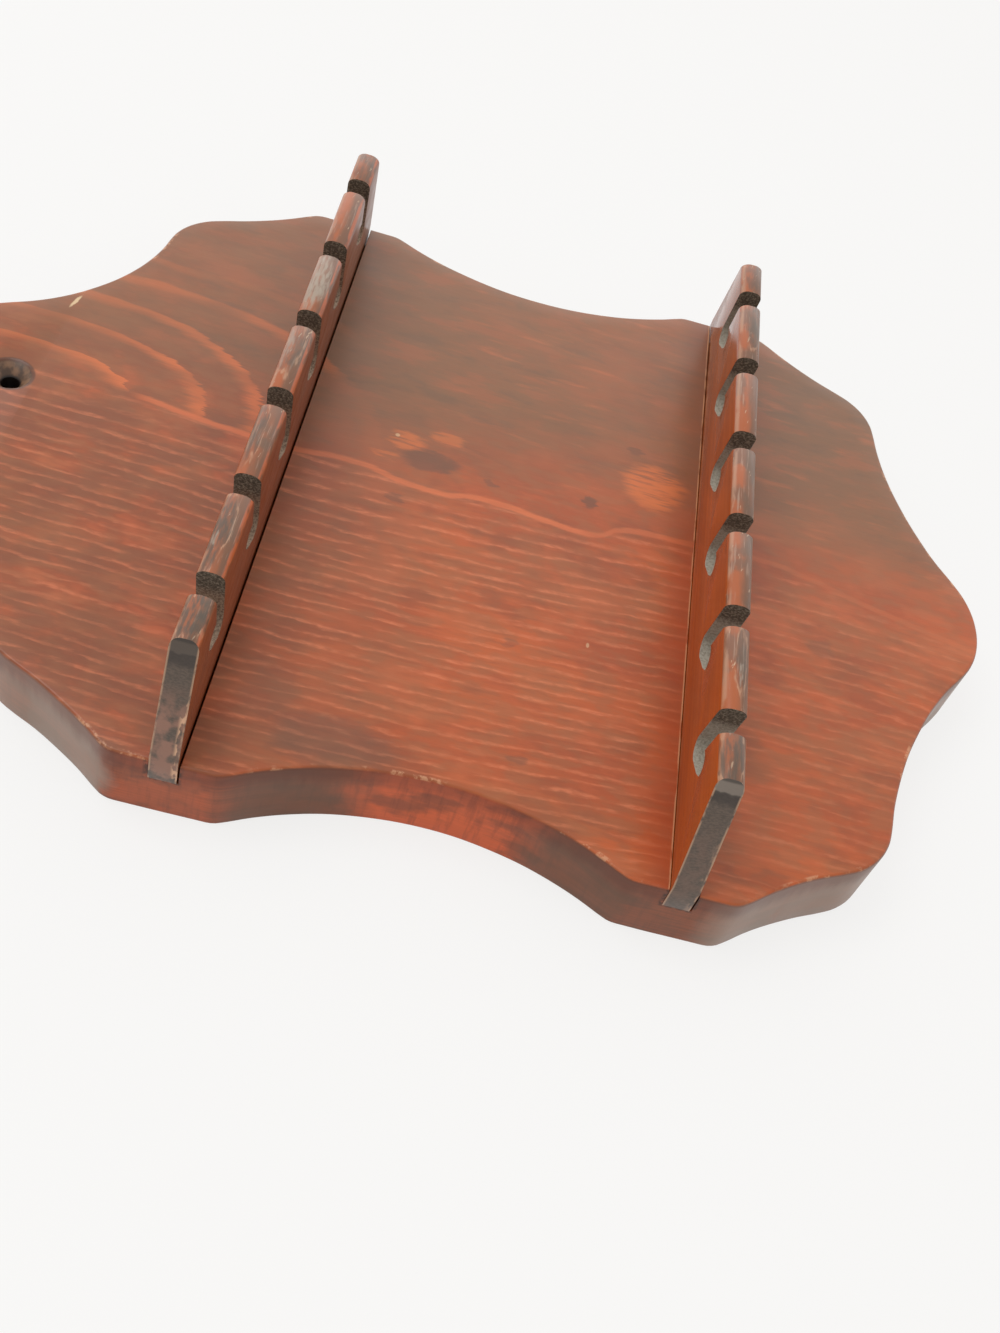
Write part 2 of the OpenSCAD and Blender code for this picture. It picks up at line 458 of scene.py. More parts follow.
LOWER_LOOK = RailLook(
    name="rail_wood_lower",
    seed=31.0,
    # Pale painted highlight along the foot-side arris
    strip=srgb(190, 154, 132),
    strip_width=0.4,
    tip=srgb(124, 112, 101),
    foxed=0.2,
    greys=(
        ((-90, 0.4), (11, 3.4), 0.8),
        ((-62, -0.8), (12, 1.8), 0.5),
        ((66, -0.6), (14, 2.6), 0.6),
        ((90, 0.0), (9, 3.0), 0.6),
    ),
    pales=(
        ((-66, -0.8), (4, 0.5), 0.6),
        ((-82, 0.6), (2.5, 0.6), 0.6),
    ),
    dust=(srgb(128, 118, 104), srgb(156, 148, 134)),
)


def line_phase(net, inside):
    """Counts the growth lines from the middle line out: each whole number starts another line."""
    curved = net.math("SQRT", net.math("MULTIPLY_ADD", inside, inside, MIDDLE_REACH**2))
    count = net.add(
        net.times(inside, 1 - MIDDLE_SHARE), net.times(curved, MIDDLE_SHARE), -MIDDLE_SHARE * MIDDLE_REACH
    )
    uneven = net.node("TexNoise", noise_dimensions="1D")
    uneven = net.fill(uneven, W=net.times(inside, 1 / UNEVEN_LENGTH), Scale=1)
    return net.add(net.times(count, 1 / LINE_PITCH), net.times(uneven, UNEVEN_SHIFT))


def line_strength(net, sheared, phase):
    """How strong the growth lines are: by chance from line to line, and patchy and gritty along each."""
    chance = net.fill(net.node("TexWhiteNoise", noise_dimensions="1D"), W=net.math("FLOOR", phase))
    patchy = net.ease(net.noise((2.4, 11, 1), seed=5.3, at=sheared), 0.36, 0.58, 0.05, 1)
    grit = net.ease(net.noise((0.7, 2.2, 0.7), seed=23.6), 0.36, 0.6, 0.5, 1)
    return net.times(net.ease(chance, 0, 1, 0.6, 1), patchy, grit)


def middle_lines(net):
    """Signed distance from the middle line, and the bright and dark parts of the lines on its near side."""
    x, y = net.x, net.y
    sheared = net.join(net.math("MULTIPLY_ADD", y, LINE_SHEAR, x), y, 0)
    tear = net.swing((0.9, 5, 1), 0.5, detail=4, roughness=0.65, seed=7.7, at=sheared)
    wander = net.swing((40, 110, 40), 2.2, detail=2)
    ripple = net.swing((12, 30, 12), 0.7, detail=2, seed=3.1)
    ripple = net.add(ripple, net.swing((3.2, 9, 1), 0.75, detail=2, seed=4.7, at=sheared))
    offset = net.add(x, net.times(net.curve(y, MIDDLE_LINE), -1), tear)
    inside = net.add(net.curve(y, NEAR_PATH), net.times(net.add(x, tear, wander, ripple), -1))
    phase = line_phase(net, net.most(inside, 0))
    strength = line_strength(net, sheared, phase)
    ends = net.times(net.ease(y, -60, -85, 0.75, 1), net.ease(y, -205, -180, 0.6, 1))
    near = net.times(net.ease(offset, 0.5, -2), ends)
    across = net.math("FRACT", phase)
    bright = net.times(net.between(across, 0.52, 0.80, 0.84, 1), strength, near)
    dark = net.times(net.between(across, 0, 0.12, 0.14, 0.42), strength, near)
    return offset, bright, dark


def arch_lines(net):
    """Broad lines nested round the hanging hole, with ragged tips."""
    tooth = net.swing((1, 9, 1), 2.6, seed=11.2)
    sway = net.swing((14, 22, 14), 1.6, detail=2, seed=15.1)
    side = net.most(net.add(net.x, -ARCH_X, sway), 0)
    along = net.add(net.y, tooth)
    lines = []
    for tip, half_width, straight, fading, strength in ARCHES:
        wide = net.times(side, 1 / half_width)
        deep = net.times(net.math("MINIMUM", net.add(along, -straight), 0), 1 / (tip - straight))
        level = net.length(wide, deep)
        line = net.between(level, fading, 0.97, 0.985, 1.008)
        lines.append(net.times(line, net.ease(deep, 0.1, 0.9, 0.5, 1), strength))
    return net.most(*lines)


def growth_lines(net, colour):
    """Draws the near side's lines, the middle line, the streaks and the arches over the stain."""
    y = net.y
    offset, bright, dark = middle_lines(net)
    far_half = net.ease(offset, -0.5, 3)
    patchy = net.ease(net.noise((8, 24, 8), seed=6.6), 0.32, 0.60, 0.45, 1)
    arches = net.times(arch_lines(net), far_half, patchy, net.ease(y, -84, -72, 0.1, 1))
    middle = net.times(net.ease(net.math("ABSOLUTE", offset), 1.5, 0.5), patchy)
    middle = net.times(middle, net.ease(y, -28, -36), net.ease(y, -205, -190, 0.35, 1))
    streak = net.ease(net.noise((3.2, 17, 3.2), detail=4, seed=16.4), 0.56, 0.78)
    streak = net.times(streak, far_half, net.ease(y, -100, -120), 0.28)
    colour = net.coat(colour, net.times(dark, 0.3), 130, 62, 30)
    colour = net.coat(colour, net.times(bright, 0.62), 214, 122, 80)
    colour = net.coat(colour, net.most(net.times(middle, 0.7), streak), 212, 110, 62)
    return net.coat(colour, net.times(arches, 0.85), 204, 106, 54)


def board_stain(net):
    """The board's red-brown stain: clouded, weathered and mottled, and darker towards the crown, with a
    painted shadow of the upper rail beside its foot side.
    """
    x, y = net.x, net.y
    cloud = net.noise((30, 60, 30), seed=9.4)
    colour = net.mix(net.ease(cloud, 0.35, 0.65), srgb(162, 75, 34), srgb(182, 87, 38))
    crown = net.ease(net.add(y, net.times(x, -0.5)), -70, 10, 0, 0.7)
    crown = net.most(crown, net.ease(y, -90, -50, 0, 0.6))
    colour = net.coat(colour, crown, 124, 66, 36)
    weathered = net.ease(net.noise((13, 36, 13), detail=4, seed=18.3), 0.45, 0.65, 0, 0.5)
    colour = net.coat(colour, weathered, 154, 90, 52)
    mottle = net.noise((3.5, 8, 3.5), detail=4, seed=22.8)
    colour = net.coat(colour, net.ease(mottle, 0.44, 0.62, 0, 0.45), 148, 90, 54)
    colour = net.coat(colour, net.ease(mottle, 0.46, 0.32, 0, 0.35), 186, 86, 42)
    stain = net.noise((9, 17, 9), seed=25.7)
    colour = net.coat(colour, net.ease(stain, 0.50, 0.68, 0, 0.4), 124, 62, 34)
    colour = net.coat(colour, net.ease(stain, 0.46, 0.30, 0, 0.4), 190, 98, 54)
    crown_mottle = net.times(net.ease(stain, 0.44, 0.58), net.ease(y, -100, -60))
    crown_mottle = net.times(crown_mottle, net.ease(x, 30, 0, 0.15, 0.35))
    colour = net.coat(colour, crown_mottle, 112, 72, 46)
    # Painted shadow of the upper rail on the face along its foot side
    upper_rail_painted_shadow = net.times(net.between(y, -122, -98, -75, -60), net.ease(x, -60, -10, 0.22, 0.45))
    return net.coat(colour, upper_rail_painted_shadow, 120, 76, 50)


def brown_and_sheen_far_half(net, colour):
    """Turns the stain browner on the board's far half and at its foot, with warmer and darker flecks; the
    duller brown of the far half is partly wood tone and partly painted sheen.
    """
    x, y = net.x, net.y
    foot_end = net.times(net.ease(y, -185, -215), net.ease(x, 10, 70), 0.6)
    colour = net.coat(colour, foot_end, 106, 78, 58)
    cloud = net.noise((34, 70, 34), seed=12.5)
    # Duller brown over the far half: partly wood tone, partly painted sheen
    brown = net.times(net.ease(net.add(x, net.times(cloud, 24)), 10, 50), 0.8)
    redder = net.times(net.between(y, -194, -182, -160, -130), 0.2)
    brown = net.times(brown, net.ease(y, -20, -95, 0.7, 1), net.math("SUBTRACT", 1, redder))
    colour = net.coat(colour, brown, 122, 86, 56)
    warmth = net.noise((7, 20, 7), detail=5, roughness=0.6, seed=29.3)
    colour = net.coat(colour, net.times(net.ease(warmth, 0.49, 0.66), brown, 0.55), 160, 88, 52)
    return net.coat(colour, net.times(net.ease(warmth, 0.47, 0.32), brown, 0.45), 98, 76, 56)


def face_marks(net, face, colour):
    """Adds bare patches, smudges, a scratch and nicks to the board's face, and says where it is smudged."""
    ragged_x = net.add(net.x, net.swing((1.6, 5, 1.6), 1.8, detail=4, seed=2.7))
    ragged_y = net.add(net.y, net.swing((2.2, 9, 2.2), 3, detail=4, seed=6.1))
    torn = net.ease(net.noise((1.1, 9, 1.1), seed=8.8), 0.32, 0.55)
    bare = net.times(net.blots(ragged_x, ragged_y, BARE_PATCHES), face, torn)
    colour = net.coat(colour, net.times(bare, 0.8), 208, 108, 50)
    smudge = net.times(net.blots(ragged_x, ragged_y, SMUDGES), face)
    colour = net.coat(colour, net.times(smudge, 0.7), 92, 66, 50)
    sloped_y = net.math("MULTIPLY_ADD", ragged_x, SCRATCH_SLOPE, net.add(net.y, -SCRATCH_SHIFT))
    pale = net.most(net.blots(ragged_x, sloped_y, PALE_SCRATCH), net.blots(net.x, net.y, PALE_NICKS))
    return net.coat(colour, net.times(pale, face, 0.85), 216, 188, 146), smudge


def lower_rail_reflection_and_foot_line(net, face, colour):
    """Paints the lower rail's reflection and shade into the face beside it, darker and more saturated, with
    a broken pale line along the rail's foot.
    """
    away = net.add(net.y, -(lower_high.y + GROOVE_FIT) / MM)
    # Band of painted reflection and shade beside the lower rail: deeper red on the near side, browner on the
    # far side
    band = net.times(net.between(away, -0.5, 0, 1, 11), face)
    colour = net.coat(colour, net.times(band, net.ease(net.x, 40, -10, 0, 0.55)), 150, 56, 20)
    colour = net.coat(colour, net.times(band, net.ease(net.x, -10, 40, 0, 0.5)), 112, 58, 28)
    line = net.between(away, -0.2, 0, 0.35, 0.55)
    dashes = net.ease(net.noise((7, 0.6, 0.6), seed=20.6), 0.36, 0.5)
    return net.coat(colour, net.times(line, dashes, face, 0.6), 206, 150, 108)


def notch_ends(net):
    """The splintered, dark outline of the two grooves where they come out of the board's edge."""
    floor_z = upper_low.z / MM
    half_width = RAIL_HALF / MM
    sides = []
    for centre in (UPPER_Y, LOWER_Y):
        away = net.math("ABSOLUTE", net.add(net.y, -centre / MM))
        beside = net.ease(net.math("ABSOLUTE", net.add(away, -half_width - 0.2)), 1.3, 0.3)
        sides.append(net.times(beside, net.ease(net.z, floor_z - 1, floor_z)))
        below = net.ease(net.math("ABSOLUTE", net.add(net.z, -floor_z)), 1, 0.2)
        sides.append(net.times(below, net.ease(away, half_width + 1, half_width)))
    splinters = net.ease(net.noise((1.6, 1.6, 1.6), detail=4, seed=24.1), 0.38, 0.58)
    return net.times(net.most(*sides), splinters)


def edge_stain(net):
    """Colour of the board's edge, streaked and in places red or dark, with grey places of painted sheen,
    painted shade under its front and painted light that keeps its near side brighter; and where it is grey.
    """
    streak = net.noise((26, 26, 0.7), seed=14.2)
    colour = net.mix(net.ease(streak, 0.35, 0.65), srgb(158, 78, 46), srgb(184, 90, 52))
    drift = net.swing((9, 9, 7), 4, detail=4, seed=19.5)
    drift_x = net.add(net.x, drift)
    drift_y = net.add(net.y, drift)
    colour = net.coat(colour, net.blots(drift_x, drift_y, RED_EDGES), 224, 102, 54)
    mottle = net.noise((14, 14, 6), detail=4, seed=17.9)
    colour = net.coat(colour, net.ease(mottle, 0.44, 0.64, 0, 0.6), 98, 60, 42)
    saw = net.noise((1.6, 1.6, 12), detail=4, roughness=0.6, seed=27.2)
    colour = net.coat(colour, net.ease(saw, 0.46, 0.68, 0, 0.3), 92, 48, 32)
    # Painted light: the edge keeps a brighter red on the near side, where it lies in shade, and turns
    # browner on the far side, which the window lights
    painted_light_far_side = net.ease(net.x, -20, 60, 0, 0.7)
    colour = net.coat(colour, painted_light_far_side, 118, 74, 50)
    colour = net.coat(colour, net.blots(drift_x, drift_y, DARK_EDGES), 104, 76, 58)
    # Grey places that stand for a painted sheen on the edge
    grey = net.blots(drift_x, drift_y, PAINTED_SHEEN_EDGES)
    colour = net.coat(colour, grey, 146, 124, 108)
    # Painted shade along the top of the edge, under the rounded front
    ragged_z = net.add(net.z, net.swing((2.5, 2.5, 12), 2.4, detail=4, seed=28.4))
    painted_shade_under_face = net.ease(ragged_z, FACE_MM - 8, FACE_MM - 2, 0, 0.5)
    colour = net.coat(colour, painted_shade_under_face, 96, 46, 32)
    return net.coat(colour, net.times(notch_ends(net), 0.8), 56, 40, 30), grey


def edge_wear(net, colour):
    """Adds the board's edge with its chipped pale arris, and says where the edge is dull."""
    normal = net.node("NewGeometry").outputs["True Normal"]
    upright = net.math("ABSOLUTE", net.split(normal)[2])
    wall = net.ease(upright, 0.80, 0.40)
    wall_colour, grey = edge_stain(net)
    colour = net.mix(wall, colour, wall_colour)
    arris = net.ease(net.attribute("rim"), 0.90, 1)
    arris = net.times(arris, net.ease(net.z, FACE_MM - 0.7, FACE_MM - 0.3))
    worn = net.ease(net.noise((22, 22, 22), detail=2, seed=21.4), 0.48, 0.58)
    chips = net.noise((3, 3, 3), detail=5, roughness=0.7, seed=3.9)
    chipped = net.times(arris, worn, net.ease(chips, 0.50, 0.62), 0.6)
    dull = net.times(wall, net.math("SUBTRACT", 1, grey))
    return net.coat(colour, chipped, 206, 152, 114), dull


def countersink_dirt_and_hole_shade(net, face, colour):
    """Adds dirt in the countersink, a dark ring round it and painted shade in the hanging hole."""
    from_hole = net.length(net.x, net.y)
    sink = net.times(net.ease(from_hole, 6.4, 5.6), net.ease(net.z, FACE_MM - 0.05, FACE_MM - 0.5))
    dirt = net.ease(net.noise((2.5, 2.5, 2.5), detail=4, seed=26.3), 0.36, 0.62)
    colour = net.mix(sink, colour, net.mix(dirt, srgb(78, 58, 44), srgb(124, 92, 68)))
    ring = net.times(net.between(from_hole, 5, 5.6, 6, 6.6), face, 0.7)
    colour = net.coat(colour, ring, 70, 44, 30)
    # Painted shade inside the hanging hole
    return net.coat(colour, net.times(sink, net.ease(from_hole, 3, 2.4)), 26, 18, 14)


def board_wood():
    """Stained softwood: pale growth lines over red-brown, browner on the far half with some painted sheen,
    smudged and rubbed.
    """
    net = MaterialNet("board_wood")
    face = net.ease(net.z, 0.7 * FACE_MM, 0.9 * FACE_MM)
    fibre = net.noise((0.35, 14, 0.35), seed=1.9)
    colour = board_stain(net)
    colour = brown_and_sheen_far_half(net, colour)
    colour = growth_lines(net, colour)
    colour = net.coat(colour, net.ease(fibre, 0.35, 0.7, 0, 0.1), 116, 54, 30)
    colour, smudge = face_marks(net, face, colour)
    colour = lower_rail_reflection_and_foot_line(net, face, colour)
    colour, dull = edge_wear(net, colour)
    colour = countersink_dirt_and_hole_shade(net, face, colour)
    sheen = net.noise((12, 18, 12), seed=10.3)
    roughness = net.add(
        net.ease(sheen, 0.3, 0.7, 0.30, 0.38),
        net.times(smudge, 0.06),
        net.times(fibre, 0.04),
        net.times(dull, 0.2),
    )
    return net.surface(colour, roughness, fibre, BOARD_RELIEF, Specular_IOR_Level=0.42)


def rail_sides(net, fibre):
    """Colour of a rail's sides: a clouded stain, with painted shade on the foot side, and browner at the far
    end.
    """
    band = net.noise((90, 1.6, 1.6), detail=2, seed=2)
    cloud = net.noise((34, 12, 12), detail=2, seed=4)
    colour = net.mix(net.ease(band, 0.3, 0.7), srgb(158, 71, 20), srgb(170, 78, 22))
    colour = net.coat(colour, net.ease(cloud, 0.40, 0.7, 0, 0.35), 124, 62, 32)
    colour = net.coat(colour, net.ease(fibre, 0.35, 0.7, 0, 0.14), 104, 44, 18)
    # Painted shade on the foot side, which faces away from the light
    colour = net.coat(colour, net.ease(net.sideways, 0.5, -0.5, 0, 0.6), 102, 62, 43)
    return net.coat(colour, net.ease(net.x, 20, 95, 0, 0.45), 134, 90, 62)


def front_stain(net):
    """Colour of a rail's front before its marks: brown to red across it, greyed and scratched in places."""
    drift = net.swing((16, 3, 3), 2.2, seed=6)
    grey = net.noise((10, 7, 7), seed=8)
    redder = net.ease(net.add(net.sideways, drift), -1.6, 1.2)
    colour = net.mix(redder, srgb(118, 78, 54), srgb(164, 86, 44))
    colour = net.coat(colour, net.ease(grey, 0.48, 0.62, 0, 0.7), 102, 79, 62)
    scratch = net.ease(net.noise((9, 0.5, 0.5), detail=4, seed=9), 0.54, 0.68)
    return net.coat(colour, net.times(scratch, net.ease(grey, 0.40, 0.60), 0.5), 176, 146, 126)


def front_arrises(net, look, dashes, colour):
    """Adds the strips along both arrises of a rail's front: a pale worn line on the crown side, and on the
    foot side a rubbed strip that on the lower rail is a painted highlight.
    """
    # Foot-side strip: rubbed on the upper rail, a painted highlight of the arris on the lower
    foot_side = net.ease(net.sideways, look.strip_width - 3.1, look.strip_width - 3.4)
    colour = net.mix(net.times(foot_side, dashes, 0.8), colour, look.strip)
    crown_side = net.between(net.sideways, 1.9, 2.5, 2.8, 3.1)
    return net.coat(colour, net.times(crown_side, dashes, 0.6), 186, 142, 114)


def front_wear(net, look, dashes, colour):
    """Adds ragged grey worn places with pale rims, and pale places, on a rail's front."""
    ragged_x = net.add(net.x, net.swing((5, 1.5, 1.5), 4, detail=4, seed=19))
    ragged_side = net.add(net.sideways, net.swing((9, 1.2, 1.2), 1.2, detail=4, seed=20))
    broken = net.ease(net.noise((4, 0.8, 0.8), detail=4, seed=21), 0.36, 0.60, 0.3, 1)
    grey = net.blots(ragged_x, ragged_side, look.greys)
    colour = net.coat(colour, net.times(grey, broken), 80, 70, 59)
    rim = net.times(net.between(grey, 0.04, 0.2, 0.3, 0.5), dashes, broken, 0.5)
    colour = net.coat(colour, net.times(rim, net.ease(net.x, 70, 50)), 196, 152, 120)
    pale = net.times(net.blots(ragged_x, ragged_side, look.pales), broken)
    return net.coat(colour, pale, 160, 146, 130)


def rail_front(net, look):
    """Colour of a rail's rubbed front, and where it is chipped."""
    sloped = net.join(net.x, net.math("MULTIPLY_ADD", net.x, CHIP_SLOPE, net.y), net.z)
    chip = net.ease(net.noise((4.4, 0.8, 0.8), seed=10, at=sloped), 0.67, 0.72)
    dashes = net.ease(net.noise((8, 2, 2), seed=11), 0.36, 0.52)
    colour = net.mix(net.times(chip, 0.7), front_stain(net), srgb(200, 170, 140))
    colour = front_arrises(net, look, dashes, colour)
    return front_wear(net, look, dashes, colour), chip


def rail_ends(net, look):
    """Colour of a rail's dark end faces: end grain, foxing, a stained tip, a worn outline and flakes."""
    x, y, z = net.x, net.y, net.z
    across_grain = net.join(net.add(x, y), net.add(z, x), y)
    grain = net.noise((5, 0.5, 0.8), seed=12, at=across_grain)
    colour = net.mix(net.ease(grain, 0.35, 0.65), srgb(82, 69, 58), srgb(98, 82, 70))
    foxing = net.ease(net.noise((3, 3, 3), detail=4, seed=13), 0.34, 0.60)
    low_half = net.ease(z, 40, 30)
    colour = net.coat(colour, net.times(foxing, low_half, look.foxed), 146, 106, 88)
    uneven = net.add(net.from_front, net.swing((2.5, 2.5, 2.5), 0.9, seed=15))
    colour = net.mix(net.ease(uneven, -4.2, -3.2), colour, look.tip)
    stain = net.times(net.between(uneven, -7.5, -5.5, -3.6, -3), 0.75)
    colour = net.coat(colour, stain, 52, 43, 37)
    colour = net.coat(colour, net.ease(net.from_front, -1.1, -0.5, 0, 0.7), 50, 42, 36)
    wear = net.noise((2, 2, 5), seed=14)
    outline = net.ease(net.math("ABSOLUTE", net.sideways), 2.65, 3)
    outline = net.times(outline, net.ease(wear, 0.36, 0.5), 0.75)
    colour = net.coat(colour, outline, 184, 146, 116)
    flakes = net.times(net.ease(net.sideways, -1.4, -2.4), net.ease(wear, 0.51, 0.58), low_half, look.foxed)
    return net.coat(colour, flakes, 214, 168, 134)


def slot_walls(net, look, speck):
    """Colour of the sawn walls of a rail's slots: dark in the mouths and dusty in the hooks."""
    dark = net.mix(net.ease(speck, 0.42, 0.70), srgb(73, 64, 53), srgb(140, 127, 109))
    dusty = net.mix(net.ease(speck, 0.36, 0.60), *look.dust)
    return net.mix(net.ease(net.from_front, -10.5, -5.5), dusty, dark)


def rail_wood(look, centre_y):
    """Rail strip: fine straight grain, a rubbed front, dark sawn mouths, dusty hooks and dark end faces."""
    net = RailNet(look, centre_y)
    cut = net.attribute("cut")
    end = net.attribute("end")
    front = net.ease(net.from_front, -2, -1.4)
    fibre = net.noise((18, 0.3, 0.3))
    speck = net.noise((0.6, 0.6, 0.6), roughness=0.7, seed=16)
    front_colour, chip = rail_front(net, look)
    colour = net.mix(front, rail_sides(net, fibre), front_colour)
    colour = net.mix(end, colour, rail_ends(net, look))
    colour = net.mix(cut, colour, slot_walls(net, look, speck))
    smoother = net.ease(net.sideways, 2.9, 3.15)
    sheen = net.noise((10, 4, 4), seed=18)
    roughness = net.add(
        net.ease(sheen, 0.3, 0.7, 0.30, 0.42),
        net.times(smoother, -0.19),
        net.times(cut, 0.45),
    )
    grain_height = net.times(fibre, net.ease(smoother, 0, 1, 0.4, 0.1))
    height = net.add(grain_height, net.times(cut, speck, 2), net.times(chip, front, -0.8))
    return net.surface(colour, roughness, height, RAIL_RELIEF, Specular_IOR_Level=0.45)


def brad_steel():
    """Dull drawn wire with brown tarnish."""
    net = MaterialNet("brad_steel")
    tarnish = net.noise((0.8, 0.8, 0.8))
    draw = net.noise((0.15, 0.15, 4), detail=2, seed=2)
    colour = net.mix(net.ease(tarnish, 0.45, 0.70), srgb(168, 166, 162), srgb(118, 92, 72))
    roughness = net.ease(tarnish, 0.3, 0.7, 0.32, 0.55)
    return net.surface(colour, roughness, draw, BRAD_RELIEF, Metallic=1)


def new_object(name, data):
    """A new object in the scene."""
    made = bpy.data.objects.new(name, data)
    bpy.context.scene.collection.objects.link(made)
    return made


def clean_copy(node):
    """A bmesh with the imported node's shape, its split points welded and its flat faces made whole."""
    shape = bmesh.new()
    shape.from_mesh(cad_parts[node].data)
    bmesh.ops.remove_doubles(shape, verts=shape.verts, dist=TOUCH)
    bmesh.ops.dissolve_limit(
        shape,
        angle_limit=math.radians(FLAT_DEGREES),
        verts=shape.verts,
        edges=shape.edges,
        use_dissolve_boundaries=False,
    )
    return shape


def new_piece(name, shape, material, sharp_degrees=OTHER_SHARP):
    """Turns a bmesh into a smooth-shaded object with one material."""
    mesh = bpy.data.meshes.new(name)
    shape.to_mesh(mesh)
    shape.free()
    mesh.materials.append(material)
    mesh.shade_smooth()
    mesh.set_sharp_from_angle(angle=math.radians(sharp_degrees))
    return new_object(name, mesh)


def outline_points():
    """The board's outline in order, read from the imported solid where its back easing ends."""
    found = {}
    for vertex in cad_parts["back_board"].data.vertices:
        if abs(vertex.co.z - BACK_EASE) < TOUCH:
            found[(round(vertex.co.x, 6), round(vertex.co.y, 6))] = Vector((vertex.co.x, vertex.co.y))
    middle = Vector((0.0, (board_low.y + board_high.y) / 2))
    return sorted(found.values(), key=lambda point: math.atan2(*(point - middle).yx))


def smooth_loop(points):
    """A finer closed loop through the points, with curves kept round and long flats kept straight."""
    count = len(points)
    spans = [points[(i + 1) % count] - points[i] for i in range(count)]

    def heading(i):
        before, after = spans[i - 1], spans[i]
        if after.length > LONGEST_CURVE_SPAN:
            return after.normalized()
        if before.length > LONGEST_CURVE_SPAN:
            return before.normalized()
        turn = before.normalized() * after.length + after.normalized() * before.length
        return turn / (before.length + after.length)

    headings = [heading(i) for i in range(count)]
    loop = []
    for i, span in enumerate(spans):
        start, stop = points[i], points[(i + 1) % count]
        leave = headings[i] * span.length
        arrive = headings[(i + 1) % count] * span.length
        pieces = max(1, round(span.length / OUTLINE_STEP))
        for k in range(pieces):
            t = k / pieces
            loop.append(
                start * (2 * t**3 - 3 * t**2 + 1) + leave * (t**3 - 2 * t**2 + t)
                + stop * (3 * t**2 - 2 * t**3) + arrive * (t**3 - t**2)
            )
    return loop


def inward(loop):
    """The unit direction into the board at each point of a loop that runs anticlockwise."""
    count = len(loop)
    return [(loop[(i + 1) % count] - loop[i - 1]).orthogonal().normalized() for i in range(count)]


def edge_rings(loop):
    """Rings of points from the back face up the edge and over its rounded front, worn a little unevenly."""
    into = inward(loop)

    def ring(inset, z):
        return [Vector((*(point + way * inset(point)), z(point))) for point, way in zip(loop, into)]

    def front_round(point):
        lump = noise.noise(Vector((point.x, point.y, ROUND_SLICE)) * ROUND_LUMPS)
        return FRONT_ROUND * (1 + ROUND_WAVER * lump)

    def waver(z):
        return lambda p: EDGE_WAVER * (1 + noise.noise(Vector((p.x, p.y, z)) * EDGE_LUMPS))

    rings = []
    for turn in BACK_TURNS:
        angle = math.radians(turn)
        rings.append(ring(
            lambda p, a=angle: BACK_EASE * (1 - math.sin(a)) + waver(BACK_EASE)(p) * math.sin(a),
            lambda p, a=angle: BACK_EASE * (1 - math.cos(a)),
        ))
    for z in EDGE_HEIGHTS:
        rings.append(ring(waver(z), lambda p, z=z: z))
    for turn in FRONT_TURNS:
        angle = math.radians(turn)
        rings.append(ring(
            lambda p, a=angle: waver(TOP_WAVER_Z)(p) * math.cos(a) + front_round(p) * (1 - math.cos(a)),
            lambda p, a=angle: FACE_Z - front_round(p) * (1 - math.sin(a)),
        ))
    rings.append(ring(lambda p: FACE_BAND, lambda p: FACE_Z))
    return rings


def skin(rings):
    """A closed bmesh over rings of equal length, with flat faces over the first and the last."""
    shape = bmesh.new()
    rows = [[shape.verts.new(point) for point in ring] for ring in rings]
    count = len(rows[0])
    for lower, upper in zip(rows, rows[1:]):
        for i in range(count):
            j = (i + 1) % count
            shape.faces.new((lower[i], lower[j], upper[j], upper[i]))
    shape.faces.new(reversed(rows[0]))
    shape.faces.new(rows[-1])
    return shape


def cutter(shape):
    """Turns a bmesh into an object that can be cut out of a piece."""
    mesh = bpy.data.meshes.new("cutter")
    bmesh.ops.recalc_face_normals(shape, faces=shape.faces)
    shape.to_mesh(mesh)
    shape.free()
    return new_object("cutter", mesh)


def groove_cutter(low, high):
    """A bar for a rail's groove right across the board, flared where the groove meets the face."""
    y0, y1 = low.y - GROOVE_SLACK, high.y + GROOVE_FIT
    flare = GROOVE_EASE + GROOVE_OVERCUT
    section = (
        (y0, low.z),
        (y1, low.z),
        (y1, FACE_Z - GROOVE_EASE),
        (y1 + flare, FACE_Z + GROOVE_OVERCUT),
        (y0 - flare, FACE_Z + GROOVE_OVERCUT),
        (y0, FACE_Z - GROOVE_EASE),
    )
    reach = board_high.x + GROOVE_OVERCUT
    return cutter(skin([[Vector((side, y, z)) for y, z in section] for side in (-reach, reach)]))


def bore_cutter(x, y, profile):
    """A turned cutter about an upright axis; the profile lists radius and height from the bottom up."""
    angles = [2 * math.pi * i / BORE_SIDES for i in range(BORE_SIDES)]
    rings = []
    for radius, z in profile:
        rings.append([Vector((x + radius * math.cos(a), y + radius * math.sin(a), z)) for a in angles])
    return cutter(skin(rings))


def board_cutters():
    """Cutters for both grooves, for the countersunk hanging hole with its worn lip, and for the brads."""
    worn_r = SINK_R + SINK_WEAR
    hanging_hole = (
        (HOLE_R, -BORE_OVERCUT),
        (HOLE_R, FACE_Z - (SINK_R - HOLE_R)),
        (SINK_R - SINK_LIP, FACE_Z - SINK_LIP),
        (worn_r, FACE_Z),
        (worn_r + BORE_OVERCUT, FACE_Z + BORE_OVERCUT),
    )
    brad_hole = (
        (BRAD_HEAD_R, -BORE_OVERCUT),
        (BRAD_HEAD_R, BRAD_HEAD_DEPTH),
        (BRAD_SHANK_R, BRAD_HEAD_DEPTH),
        (BRAD_SHANK_R, upper_low.z + BORE_OVERCUT),
    )
    cutters = [groove_cutter(upper_low, upper_high), groove_cutter(lower_low, lower_high)]
    cutters.append(bore_cutter(0, 0, hanging_hole))
    for y in (UPPER_Y, LOWER_Y):
        for step in BRAD_STEPS:
            cutters.append(bore_cutter(step * BRAD_PITCH, y, brad_hole))
    return cutters


